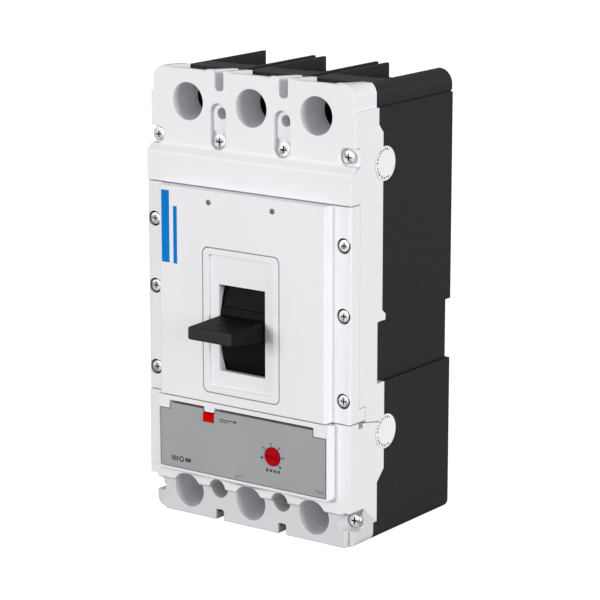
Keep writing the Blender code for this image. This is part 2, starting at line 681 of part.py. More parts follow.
def flat_link(name, start_at, end_at, lane, bores):
    body = prism(name, "X", capsule(start_at, end_at, 3.5), lane)
    return combine(body, "DIFFERENCE", *[rod("bore", "X", at, (-20, 20), radius, 16) for at, radius in bores])


def toggle_links():
    knee, pin = knee_at_rest(), arm_pin(REST_OPENING)
    upper = flat_link("upper_toggle_link", CRADLE_PIN, knee, (-5.6, -3.6), [(CRADLE_PIN, 1.8)])
    combine(upper, "UNION", rod("knee pin", "X", knee, (-12.6, 12.6), 1.4, 12))
    part(upper, "zinc_steel", place(0, *CRADLE_PIN))
    lower = flat_link("lower_toggle_link", pin, knee, (3.6, 5.6), [(pin, 1.8), (knee, 2.3)])
    part(lower, "zinc_steel", place(0, *pin))


def cradle():
    plate = [(-28, 90, 3), (-50, 95, 3), (-68, 105, 2), (-66, 111.5, 2), (-46, 108.5, 3), (-28, 98, 3)]
    body = prism("cradle", "X", plate, (-8.2, -6.4))
    combine(body, "UNION", rod("upper link pin", "X", CRADLE_PIN, (-7, -3.2), 1.5, 8))
    return part(body, "zinc_steel")


def coil(name, start_at, end_at, radius, wire, turns):
    """A coil spring between two points in metres, its helix worked out turn by turn."""
    axis = end_at - start_at
    across = axis.orthogonal().normalized()
    up = axis.normalized().cross(across)
    count = turns * COIL_STEPS
    curve = bpy.data.curves.new(name, "CURVE")
    curve.dimensions = "3D"
    curve.bevel_depth = wire * MM / 2
    curve.bevel_resolution = 0
    curve.use_fill_caps = True
    spline = curve.splines.new("POLY")
    spline.points.add(count)
    for index, point in enumerate(spline.points):
        angle = 2 * math.pi * index / COIL_STEPS
        out = (across * math.cos(angle) + up * math.sin(angle)) * radius * MM
        point.co = (*(start_at + axis * index / count + out), 1)
    made = bpy.data.objects.new(name, curve)
    GROUPS["cutters"].objects.link(made)
    return part(made, "spring_steel")


def springs():
    knee = knee_at_rest()
    for name, x in (("left", -10.9), ("right", 10.9)):
        coil(f"main_spring_{name}", place(x, knee[0] - 3, knee[1] - 0.2), place(x, -89.8, 115), 1.8, 0.8, 8)
    coil("button_spring", place(STEM_X, -87.6, STEM_Z), place(STEM_X, -100.3, STEM_Z), 2.0, 0.5, 5)


def handle_yoke():
    """A steel stirrup: two legs on the pivot pins, a front plate behind the handle, and a spring bar."""
    leg = capsule(HANDLE_PIVOT, (-92, 115), 5)
    body = prism("handle_yoke", "X", leg, (-18.2, -16.6))
    combine(
        body,
        "UNION",
        prism("right leg", "X", leg, (16.6, 18.2)),
        box("front plate", (-18.1, 18.1), (-97.4, -95.6), (108.5, 121.5)),
        rod("spring bar", "X", (-92, 115), (-17, 17), 1.2, 12),
    )
    combine(body, "DIFFERENCE", rod("pivot bore", "X", HANDLE_PIVOT, (-30, 30), 2.8, 16))
    return part(body, "zinc_steel", place(0, *HANDLE_PIVOT))


def toggle_handle():
    """The lever that the hand moves, on a curved shield that keeps the window closed."""
    low, high = -SHIELD_HALF_ANGLE, SHIELD_HALF_ANGLE
    body = arc_plate("toggle_handle", SHIELD_RADII, low, high, (-17, 17), 16)
    boss = (math.radians(-16.5), math.radians(10.4))
    lever = [(-101.2, 110.3), (-134, 114.5, 1.6), (-134, 121.7, 1.6), (-101.2, 122.7)]
    combine(
        body,
        "UNION",
        arc_plate("boss", (64.6, 66.7), *boss, (-15.2, 15.2), 8),
        prism("lever", "X", lever, (-14.9, 14.9)),
    )
    return part(body, "toggle_black", place(0, *HANDLE_PIVOT))


# The trip unit.


def trip_bar():
    y, z = TRIP_BAR_AXIS
    body = rod("trip_bar", "X", TRIP_BAR_AXIS, (-58, 58), 3.0, 12)
    added = []
    for x in POLES.values():
        finger = [(-46, 63), (-44.5, 63), (-44.5, 74.4), (y, 74.4), (y, 77.6), (-46, 77.6)]
        added.append(prism("bimetal finger", "X", finger, (x - 3, x + 3)))
    long_finger = [(-46, 57.5), (-44.5, 57.5), (-44.5, 74.4), (y, 74.4), (y, 77.6), (-46, 77.6)]
    added.append(prism("button finger", "X", long_finger, (-28.2, -25)))
    combine(body, "UNION", *added)
    return part(body, "crossbar_brown", place(0, y, z))


def bimetal(pole, x):
    strip = [(-20, 30), (-51, 30), (-51, 72), (-49.8, 72), (-49.8, 31.2), (-20, 31.2)]
    return part(prism(f"bimetal_{pole}", "X", strip, (x - 4, x + 4)), "bimetal")


def push_to_trip_button():
    body = box("push_to_trip_button", BUTTON_X, (-106.2, -101.5), BUTTON_Z)
    combine(
        body,
        "UNION",
        box("collar", (-28.0, -19.0), (-102.8, -101), (58.0, 66.4)),
        rod("stem", "Y", (STEM_X, STEM_Z), (-101.4, -46.4), 1.3, 12),
    )
    return part(body, "button_red", place(STEM_X, -101, STEM_Z))


def trip_adjust_dial():
    x, z = DIAL_CENTRE
    profile = [(0, -105.9), (4.85, -105.9), (5.15, -105.6), (5.15, -103.5), (3.0, -103.5)]
    profile += [(3.0, -88), (0, -88)]
    body = turned("trip_adjust_dial", x, z, profile, 20)
    combine(body, "DIFFERENCE", box("slot", (x - 3.9, x + 3.9), (-110, -104.7), (z - 0.8, z + 0.8)))
    return part(body, "button_red")


base_housing()
main_cover()
load_end_cover()
accessory_cover()
toggle_escutcheon()
trip_unit_faceplate()
seal_labels()
cover_screws()
for pole_name, pole_x in POLES.items():
    terminal("line", pole_name, pole_x)
    terminal("load", pole_name, pole_x)
    line_strap(pole_name, pole_x)
    load_strap(pole_name, pole_x)
    arc_chute(pole_name, pole_x)
    contact_arm(pole_name, pole_x)
    bimetal(pole_name, pole_x)
crossbar()
mechanism_frame()
toggle_links()
cradle()
springs()
handle_yoke()
toggle_handle()
trip_bar()
push_to_trip_button()
trip_adjust_dial()
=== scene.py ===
"""The looks of a three-pole moulded case circuit breaker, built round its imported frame.

Sizes are in millimetres. X is to the right, Y to the back, and heights are counted from the load end,
as on the part itself: place() turns them into the frame's metres.
"""

import json
import math

import bmesh
import bpy
from mathutils import Matrix, Vector


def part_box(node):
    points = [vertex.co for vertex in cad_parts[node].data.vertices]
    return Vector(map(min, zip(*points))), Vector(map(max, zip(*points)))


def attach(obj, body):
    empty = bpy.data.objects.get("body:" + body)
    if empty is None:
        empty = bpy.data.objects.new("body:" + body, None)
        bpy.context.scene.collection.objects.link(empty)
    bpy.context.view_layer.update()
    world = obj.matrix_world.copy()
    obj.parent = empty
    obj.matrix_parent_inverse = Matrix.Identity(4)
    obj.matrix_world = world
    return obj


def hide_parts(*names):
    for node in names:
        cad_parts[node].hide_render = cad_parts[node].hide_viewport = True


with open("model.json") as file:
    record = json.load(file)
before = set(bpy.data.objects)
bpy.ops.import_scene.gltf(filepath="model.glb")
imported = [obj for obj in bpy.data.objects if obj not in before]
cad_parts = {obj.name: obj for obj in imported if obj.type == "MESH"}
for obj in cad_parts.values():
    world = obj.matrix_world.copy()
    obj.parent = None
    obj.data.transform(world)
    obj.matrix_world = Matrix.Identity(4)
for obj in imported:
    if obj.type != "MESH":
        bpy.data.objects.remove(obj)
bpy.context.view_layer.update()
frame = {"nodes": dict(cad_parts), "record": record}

MM = 0.001
BASE_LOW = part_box("load_end_cover")[0]
COVER_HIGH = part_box("main_cover")[1]
FLOOR = BASE_LOW.z
HEIGHT = (COVER_HIGH.z - FLOOR) / MM
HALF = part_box("base_housing")[1].x / MM
PITCH = (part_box("line_lug_c")[0].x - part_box("line_lug_b")[0].x) / MM
POLES = (-PITCH, 0.0, PITCH)
BETWEEN_POLES = (-PITCH / 2, PITCH / 2)
SIDES = (-1, 1)
GAP = 0.3
WELD_WITHIN = 1e-6

# Front planes, as Y.
PANEL, STRIP, DECK = -105.4, -99.5, -90.5
LINE_FACE, LOAD_FACE = -95.3, -97.0
POCKET_FLOOR, PANEL_INSIDE = -103.1, -100.2
TUBE_END = {"line": -72.2, "load": -70.8}

# Planes well clear of the object, which cuts run out to.
AHEAD, BEHIND, ASIDE, ABOVE = -130, 20, 80, 270
THROUGH, ACROSS = (AHEAD, BEHIND), (-90, 90)

# Heights.
LOAD_SEAM, LINE_SEAM, BLOCK_TOP = 71.3, 192.05, 20.5
BASE_TOP, ROOF_LOW, SHOULDER = 254.8, 246.5, 242.2
COVER_NARROW, BASE_NARROW = 68.0, 69.1
INNER_WALL, PARTITION = 61.0, 1.75
LINE_Z, LOAD_Z = 238.2, 14.3
LINE_RADIUS, LOAD_RADIUS = 10.6, 10.2
RECESS_X, RECESS_Z, RECESS_FRONT = 66.4, (89.5, 124.0), -73.5
MOUNT_Z, MOUNT_RADIUS = (233.0, 19.0), 3.2

# Fasteners. The line end's screws and their pockets sit a little to the left of the symmetric places.
ACCESSORY_SCREWS, ACCESSORY_SCREW_X = (170.4, 131.7, 84.35), 64.8
LINE_SHIFT = -1.0
LINE_SCREWS = tuple(x + LINE_SHIFT for x in BETWEEN_POLES)
CORNER_SCREWS = (LINE_SHIFT - 64.7, LINE_SHIFT + 64.7)
POST_SCREW_Z, CORNER_SCREW_Z, LOAD_SCREW = 217.3, 217.6, (65.3, 14.0)
LOAD_POCKET_RADIUS = 4.6
ACCESSORY_HOLE, POST_HOLE, CORNER_HOLE, LOAD_HOLE = 1.75, 2.35, 1.9, 1.5

HANDLE_PIVOT = (-37.0, 115.0)
SHIELD_RADII, SHIELD_HALF_ANGLE = (62.8, 65.3), math.radians(37.0)
DIAL_CENTRE = (21.5, 47.0)
STEM = (-25.9, 62.25)

AXES = {"X": Vector((1, 0, 0)), "Y": Vector((0, 1, 0)), "Z": Vector((0, 0, 1))}
SMOOTH_BELOW = math.radians(32)
SHARP_ABOVE, FRAME_SHARP_ABOVE = math.radians(50), math.radians(35)


# Materials.

METAL_GLOSS_SPREAD = 0.12
SPECULAR = "Specular_IOR_Level"


def nodes_for(name, colour, roughness, metallic=0.0, **sockets):
    material = bpy.data.materials.new(name)
    material.use_nodes = True
    tree = material.node_tree
    shader = tree.nodes["Principled BSDF"]
    shader.inputs["Base Color"].default_value = (*colour, 1)
    shader.inputs["Roughness"].default_value = roughness
    shader.inputs["Metallic"].default_value = metallic
    for socket, value in sockets.items():
        shader.inputs[socket.replace("_", " ")].default_value = value
    return material, tree, shader


def noise(tree, size, detail=3.0, stretch=(1, 1, 1)):
    """Noise whose features are about size millimetres across, fixed to the piece."""
    where = tree.nodes.new("ShaderNodeTexCoord")
    mapping = tree.nodes.new("ShaderNodeMapping")
    mapping.inputs["Scale"].default_value = [s / (size * MM) for s in stretch]
    texture = tree.nodes.new("ShaderNodeTexNoise")
    texture.inputs["Scale"].default_value = 1
    texture.inputs["Detail"].default_value = detail
    tree.links.new(where.outputs["Object"], mapping.inputs["Vector"])
    tree.links.new(mapping.outputs["Vector"], texture.inputs["Vector"])
    return texture.outputs["Fac"]


def ramp(tree, factor, low, high, start=0.35, end=0.65):
    """factor spread over a range of colours or, as greys, of values."""
    made = tree.nodes.new("ShaderNodeValToRGB")
    made.color_ramp.elements[0].position = start
    made.color_ramp.elements[1].position = end
    for element, value in zip(made.color_ramp.elements, (low, high)):
        colour = value if isinstance(value, tuple) else (value, value, value)
        element.color = (*colour, 1)
    tree.links.new(factor, made.inputs["Fac"])
    return made.outputs["Color"]


def bump(tree, shader, factor, depth):
    made = tree.nodes.new("ShaderNodeBump")
    made.inputs["Distance"].default_value = depth * MM
    tree.links.new(factor, made.inputs["Height"])
    tree.links.new(made.outputs["Normal"], shader.inputs["Normal"])


def shade(colour, by):
    return tuple(min(1.0, part * by) for part in colour)


def moulded(name, colour, roughness, size=0.35, depth=0.006, flow=0.03, **sockets):
    """Moulded plastic: the tool's fine spark texture, with faint flow marks in colour and gloss."""
    material, tree, shader = nodes_for(name, colour, roughness, **sockets)
    slow = noise(tree, 38.0, 2.0, (1, 1, 0.4))
    tinted = ramp(tree, slow, shade(colour, 1 - flow), shade(colour, 1 + flow))
    tree.links.new(tinted, shader.inputs["Base Color"])
    patchy = noise(tree, 6.0, 4.0)
    gloss = ramp(tree, patchy, roughness - 0.05, roughness + 0.05)
    tree.links.new(gloss, shader.inputs["Roughness"])
    bump(tree, shader, noise(tree, size, 2.0), depth)
    return material


def filled(name, colour, roughness, **sockets):
    """Glass-filled moulding compound: pale flecks of fibre in a dark body, and a slight orange peel."""
    material, tree, shader = nodes_for(name, colour, roughness, **sockets)
    flecks = noise(tree, 0.5, 5.0, (1, 1, 0.35))
    flecked = ramp(tree, flecks, colour, shade(colour, 1.5), 0.55, 0.85)
    tree.links.new(flecked, shader.inputs["Base Color"])
    patchy = noise(tree, 4.0, 4.0)
    gloss = ramp(tree, patchy, roughness - 0.03, roughness + 0.03)
    tree.links.new(gloss, shader.inputs["Roughness"])
    bump(tree, shader, noise(tree, 0.55, 3.0), 0.012)
    return material


def worked_metal(name, colour, roughness, stretch=(1, 1, 1), size=0.8):
    """Plated, rolled or drawn metal: fine marks along one direction and uneven gloss."""
    material, tree, shader = nodes_for(name, colour, roughness, 1.0)
    marks = noise(tree, size, 6.0, stretch)
    tree.links.new(ramp(tree, marks, shade(colour, 0.86), colour), shader.inputs["Base Color"])
    low, high = max(0.05, roughness - METAL_GLOSS_SPREAD), roughness + METAL_GLOSS_SPREAD
    tree.links.new(ramp(tree, noise(tree, 3.0, 5.0), low, high), shader.inputs["Roughness"])
    bump(tree, shader, marks, 0.008)
    return material


WHITE = (0.80, 0.79, 0.815)
MATERIAL_ROWS = (
    (moulded, "cover_white", (WHITE, 0.44), {"flow": 0.012}),
    # The next row is the cover's white made darker: painted shade for the load end's lower block.
    (moulded, "block_white", (shade(WHITE, 0.79), 0.5), {"flow": 0.012}),
    (filled, "base_black", ((0.0185, 0.0172, 0.0198), 0.6), {SPECULAR: 0.2}),
    (moulded, "toggle_black", ((0.007, 0.0063, 0.007), 0.5, 0.25, 0.004), {SPECULAR: 0.05}),
    # The next row is the lever's end face: a coarser grain, and a lighter colour that is painted light.
    (moulded, "toggle_end", ((0.031, 0.03, 0.032), 0.55, 0.5, 0.01), {SPECULAR: 0.08}),
    (moulded, "plate_grey", ((0.325, 0.335, 0.34), 0.42, 0.2, 0.003), {}),
    (moulded, "button_red", ((0.57, 0.0008, 0.002), 0.5, 0.3, 0.003), {SPECULAR: 0.01}),
    (moulded, "dial_red", ((0.4, 0.002, 0.008), 0.5, 0.3, 0.003), {SPECULAR: 0.02}),
    (moulded, "label_grey", ((0.84, 0.84, 0.85), 0.4, 1.2, 0.004), {}),
    (worked_metal, "zinc_steel", ((0.93, 0.93, 0.94), 0.34), {}),
    (worked_metal, "spring_steel", ((0.42, 0.42, 0.44), 0.25), {"size": 0.3}),
    (worked_metal, "tin_plate", ((0.68, 0.68, 0.66), 0.38), {"size": 1.2}),
    (worked_metal, "copper", ((0.74, 0.36, 0.2), 0.3, (1, 1, 0.08), 0.5), {}),
    (worked_metal, "bimetal", ((0.5, 0.47, 0.42), 0.35, (1, 1, 0.05), 0.4), {}),
    (filled, "crossbar_brown", ((0.085, 0.045, 0.028), 0.5), {}),
    (filled, "chute_fibre", ((0.35, 0.32, 0.28), 0.75), {}),
    (moulded, "stripe_blue", ((0.001, 0.185, 0.57), 0.45, 0.2, 0.002), {SPECULAR: 0.05}),
    # The next row is dark print, and also painted shade in the screws' cross recesses.
    (moulded, "print_dark", ((0.045, 0.045, 0.05), 0.5, 0.2, 0.002), {}),
    (moulded, "peg_grey", ((0.12, 0.115, 0.12), 0.45), {}),
)
MATERIALS = {name: make(name, *values, **named) for make, name, values, named in MATERIAL_ROWS}


# Shapes. A span is (low, high) along the named axis; an outline's corner is (u, v) or (u, v, radius),
# where u and v are Y and height for axis X, X and height for axis Y, and X and Y for axis Z.


def solid(name, bm):
    bmesh.ops.recalc_face_normals(bm, faces=bm.faces)
    mesh = bpy.data.meshes.new(name)
    bm.to_mesh(mesh)
    bm.free()
    made = bpy.data.objects.new(name, mesh)
    bpy.context.scene.collection.objects.link(made)
    return made


def place(x, y, z):
    return Vector((x * MM, y * MM, z * MM + FLOOR))


def box(x, y, z):
    bm = bmesh.new()
    bmesh.ops.create_cube(bm, size=1)
    low, high = place(min(x), min(y), min(z)), place(max(x), max(y), max(z))
    bmesh.ops.scale(bm, vec=high - low, verts=bm.verts)
    bmesh.ops.translate(bm, vec=(low + high) / 2, verts=bm.verts)
    return solid("box", bm)


def onto_axis(axis, at, along):
    """The point in metres that lies at (u, v) across an axis and at one distance along it."""
    u, v = at
    return {"X": place(along, u, v), "Y": place(u, along, v), "Z": place(u, v, along)}[axis]


def rod(axis, at, span, radius, sides=48):
    bm = bmesh.new()
    length = abs(span[1] - span[0]) * MM
    bmesh.ops.create_cone(
        bm, cap_ends=True, segments=sides, radius1=radius * MM, radius2=radius * MM, depth=length
    )
    turn = AXES["Z"].rotation_difference(AXES[axis]).to_matrix()
    bmesh.ops.rotate(bm, cent=(0, 0, 0), matrix=turn, verts=bm.verts)
    bmesh.ops.translate(bm, vec=onto_axis(axis, at, sum(span) / 2), verts=bm.verts)
    return solid("rod", bm)


def rounded(corners, steps):
    """The outline's points, with an arc at each corner that names a radius."""
    points = []
    for index, (u, v, *radius) in enumerate(corners):
        here = Vector((u, v))
        if not radius:
            points.append(here)
            continue
        before = (Vector(corners[index - 1][:2]) - here).normalized()
        after = (Vector(corners[(index + 1) % len(corners)][:2]) - here).normalized()
        half = before.angle(after) / 2
        centre = here + (before + after).normalized() * radius[0] / math.sin(half)
        first = here + before * radius[0] / math.tan(half) - centre
        last = here + after * radius[0] / math.tan(half) - centre
        turn = math.atan2(first.cross(last), first.dot(last))
        for step in range(steps + 1):
            points.append(centre + Matrix.Rotation(turn * step / steps, 2) @ first)
    return points


def prism(axis, corners, span, steps=8):
    """An outline pushed along an axis."""
    bm = bmesh.new()
    ends = []
    for along in sorted(span):
        points = rounded(corners, steps)
        ends.append([bm.verts.new(onto_axis(axis, point, along)) for point in points])
    bm.faces.new(ends[0])
    bm.faces.new(ends[1])
    count = len(ends[0])
    for index in range(count):
        after = (index + 1) % count
        bm.faces.new((ends[0][index], ends[0][after], ends[1][after], ends[1][index]))
    return solid("prism", bm)


def turned(x, z, profile, sides=48):
    """A round piece on a front-to-back axis, from its (radius, Y) profile."""
    bm = bmesh.new()
    rings = []
    for radius, y in profile:
        if radius == 0:
            rings.append([bm.verts.new(place(x, y, z))])
            continue
        turns = [2 * math.pi * step / sides for step in range(sides)]
        around = [(x + radius * math.cos(turn), y, z + radius * math.sin(turn)) for turn in turns]
        rings.append([bm.verts.new(place(*point)) for point in around])
    for first, second in zip(rings, rings[1:]):
        for step in range(sides):
            after = (step + 1) % sides
            corners = [first[step % len(first)], first[after % len(first)]]
            corners += [second[after % len(second)], second[step % len(second)]]
            bm.faces.new(list(dict.fromkeys(corners)))
    return solid("turned", bm)


def rectangle(left, right, low, high, *radius):
    """The corners of a rectangle, rounded where a radius is given."""
    return [(u, v, *radius) for u, v in ((left, low), (right, low), (right, high), (left, high))]


def arc_points(radii, low, high, steps=40):
    """A curved plate round the handle's pivot, between two angles above straight ahead."""
    points = []
    for radius, order in ((radii[0], range(steps + 1)), (radii[1], range(steps, -1, -1))):
        for step in order:
            angle = low + (high - low) * step / steps
            ahead, above = radius * math.cos(angle), radius * math.sin(angle)
            points.append((HANDLE_PIVOT[0] - ahead, HANDLE_PIVOT[1] + above))
    return points


def baked(body):
    """The object with its modifiers applied."""
    graph = bpy.context.evaluated_depsgraph_get()
    body.data = bpy.data.meshes.new_from_object(body.evaluated_get(graph))
    body.modifiers.clear()
    return body


def combine(body, operation, *tools):
    group = bpy.data.collections.new("tools")
    for tool in tools:
        group.objects.link(tool)
    modifier = body.modifiers.new("Boolean", "BOOLEAN")
    modifier.operation = operation
    modifier.solver = "EXACT"
    if operation == "INTERSECT":
        modifier.object = tools[0]
    else:
        modifier.operand_type = "COLLECTION"
        modifier.collection = group
    baked(body)
    for tool in tools:
        bpy.data.objects.remove(tool)
    bpy.data.collections.remove(group)
    return body


def on_both_sides(make):
    """What a function of the side, -1 or 1, makes on the left and on the right."""
    return [make(side) for side in SIDES]


def soften(body, radius, chosen, segments=5):
    """Rounds the sharp edges that chosen(middle, direction) picks, both as X, Y and height."""
    bm = bmesh.new()
    bm.from_mesh(body.data)
    bmesh.ops.remove_doubles(bm, verts=bm.verts, dist=WELD_WITHIN)
    edges = []
    for edge in bm.edges:
        if len(edge.link_faces) != 2 or edge.calc_face_angle() < SMOOTH_BELOW:
            continue
        middle = (edge.verts[0].co + edge.verts[1].co) / 2
        middle = Vector((middle.x, middle.y, middle.z - FLOOR)) / MM
        if chosen(middle, (edge.verts[1].co - edge.verts[0].co).normalized()):
            edges.append(edge)
    bmesh.ops.bevel(
        bm,
        geom=edges,
        offset=radius * MM,
        segments=segments,
        profile=0.5,
        affect="EDGES",
        clamp_overlap=True,
    )
    bm.to_mesh(body.data)
    bm.free()
    return body


def round_edges(piece, radius, triangles, segments=3):
    """Rounds every sharp edge by a little, and shades flats flat and rounds round.

    A face with many holes goes into triangles first: as one outline, the rounding could tangle it.
    """
    weld = piece.modifiers.new("Weld", "WELD")
    weld.merge_threshold = WELD_WITHIN
    if triangles:
        piece.modifiers.new("Triangles", "TRIANGULATE")
    if radius:
        bevel = piece.modifiers.new("Edges", "BEVEL")
        bevel.width = radius * MM
        bevel.segments = segments
        bevel.limit_method = "ANGLE"
        bevel.angle_limit = SMOOTH_BELOW
        bevel.use_clamp_overlap = False
        bevel.miter_outer = "MITER_ARC"
        bevel.face_strength_mode = "FSTR_ALL"
    baked(piece)
    piece.data.shade_smooth()
    piece.data.set_sharp_from_angle(angle=SHARP_ABOVE)
    weighted = piece.modifiers.new("Normals", "WEIGHTED_NORMAL")
    weighted.keep_sharp = True
    weighted.weight = 80
    weighted.use_face_influence = True
    return baked(piece)


def finished(name, piece, material, body, edge=0.35, replaced=(), triangles=True):
    """Names a piece, rounds its edges, gives it its material and puts it on its body."""
    piece.name = piece.data.name = name
    round_edges(piece, edge, triangles)
    piece.data.name = name
    piece.data.materials.clear()
    piece.data.materials.append(MATERIALS[material])
    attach(piece, body)
    if replaced:
        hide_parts(*replaced)
    return piece


def paint_light_and_shade(piece, material, chosen):
    """Gives a second material to the faces whose middle, as X, Y and height, is chosen: here, painted
    shade or painted light.
    """
    piece.data.materials.append(MATERIALS[material])
    for face in piece.data.polygons:
        if chosen((face.center - place(0, 0, 0)) / MM):
            face.material_index = 1


# The housing.


def end_outline(top, narrow):
    """The housing seen from the front: a rectangle with round corners, narrower above its shoulders."""
    right = [(HALF, 0, 5.0), (HALF, SHOULDER), (narrow, SHOULDER), (narrow, top, 8.5)]
    return right + [(-u, *rest) for u, *rest in reversed(right)]


def barrier_slots(half):
    """Slots between the poles, open at each end of the housing, that hold interphase barriers."""
    made = []
    for x in BETWEEN_POLES:
        line = [(x - half, 245.7, 2.2), (x + half, 245.7, 2.2)]
        line += [(x + half, ABOVE), (x - half, ABOVE)]
        load = [(x - 2.8, 6.3, 1.2), (x + 2.8, 6.3, 1.2), (x + 2.8, -9), (x - 2.8, -9)]
        made += [prism("Y", corners, THROUGH) for corners in (line, load)]
    return made


def side_recesses(inner, front):
    return on_both_sides(lambda side: box((side * inner, side * ASIDE), (BEHIND, front), RECESS_Z))


def mounting_holes():
    return [rod("Y", (x, z), THROUGH, MOUNT_RADIUS, 32) for x in BETWEEN_POLES for z in MOUNT_Z]


def back_pockets():
    """Cored-out pockets between ribs in the back face, which keep its moulded wall even."""
    made = []
    for pole in POLES:
        for column in (-1, 1):
            x = pole + column * 8.9
            for row in range(6):
                low = 36.5 + row * 31.0
                made.append(prism("Y", rectangle(x - 7.6, x + 7.6, low, low + 28, 2), (-1.4, 5)))
    return made


def base_housing():
    low, high, tongue = RECESS_Z[0] + GAP, RECESS_Z[1] - GAP, RECESS_FRONT + GAP
    side = [(BEHIND, 0), (-76, 0), (-76, 10), (-72.6, 10), (-72.6, 32.9), (-66.2, 39.3)]
    side += [(-66.2, low), (tongue, low), (tongue, high), (-65.5, high), (-65.5, 127.7)]
    side += [(-68.5, 130), (-68.5, 228.3), (-72.8, 233.1), (-72.8, ABOVE), (BEHIND, ABOVE)]
    body = prism("Y", end_outline(BASE_TOP, BASE_NARROW), (-90, 0), 14)
    combine(body, "INTERSECT", prism("X", side, ACROSS))

    ceiling = [(-6, 4), (-6, 243), (-55, 251.4), (-90, 251.4), (-90, 4)]
    lanes = [[x - PITCH / 2 + PARTITION, x + PITCH / 2 - PARTITION] for x in POLES]
    lanes[0][0], lanes[2][1] = -INNER_WALL, INNER_WALL
    combine(body, "DIFFERENCE", *[prism("X", ceiling, lane) for lane in lanes])

    added = []
    for x in BETWEEN_POLES:
        added.append(box((x - 4.5, x + 4.5), (-0.5, -72.3), (0.5, 10.5)))
        added.append(box((x - 4.85, x + 4.85), (-0.5, -72.5), (241, 254.5)))
        added += [rod("Y", (x, z), (-0.5, -68.3), 6.0) for z in MOUNT_Z]
    added += [rod("Y", (x, POST_SCREW_Z), (-0.5, -68.2), 5.0) for x in LINE_SCREWS]
    combine(body, "UNION", *added)

    cut = barrier_slots(2.45) + side_recesses(RECESS_X, AHEAD) + mounting_holes() + back_pockets()
    roof = [(-55, BASE_TOP, 6), (-6, ROOF_LOW, 4)]
    roof += [(BEHIND, ROOF_LOW), (BEHIND, ABOVE), (-55, ABOVE)]
    for edges in ((-60, -26.7), (-17, 17), (26.7, 60)):
        cut.append(prism("X", roof, edges))
    for x in POLES:
        entry = rectangle(x - 10.5, x + 10.5, -54, -20, 2)
        cut.append(prism("Z", entry, (238, ABOVE)))
        cut.append(prism("Z", [(u, max(v, -56), r) for u, v, r in entry], (-10, 8)))
        cut.append(box((x - 13.2, x + 13.2), (-90, TUBE_END["load"] + 0.6), (1.2, 8)))
        for row in range(3):
            ejector = (x, 52.0 + 62.0 * row)
            cut.append(rod("Y", ejector, (-0.35, 5), 0.55))
    cut.append(box((-60.5, 60.5), (-28, AHEAD), (122, 150)))
    cut.append(box((-60.5, 60.5), (-28, AHEAD), (56, 88)))
    cut += [rod("Y", (x, POST_SCREW_Z), (-52, AHEAD), POST_HOLE) for x in LINE_SCREWS]
    cut += [rod("Y", (x, CORNER_SCREW_Z), (-54, AHEAD), CORNER_HOLE) for x in CORNER_SCREWS]
    cut += [rod("Y", (s * LOAD_SCREW[0], LOAD_SCREW[1]), (-54, AHEAD), LOAD_HOLE) for s in SIDES]
    for x in BETWEEN_POLES:
        cut += [rod("Y", (x, z), (-1.6, 5), 6.2) for z in MOUNT_Z]
    groove = (SHOULDER, SHOULDER + 0.75)
    for side in SIDES:
        cut.append(box((side * (BASE_NARROW - 0.9), side * ASIDE), THROUGH, groove))
    combine(body, "DIFFERENCE", *cut)
    return finished("base_housing_moulding", body, "base_black", "housing", 0.4, ["base_housing"])


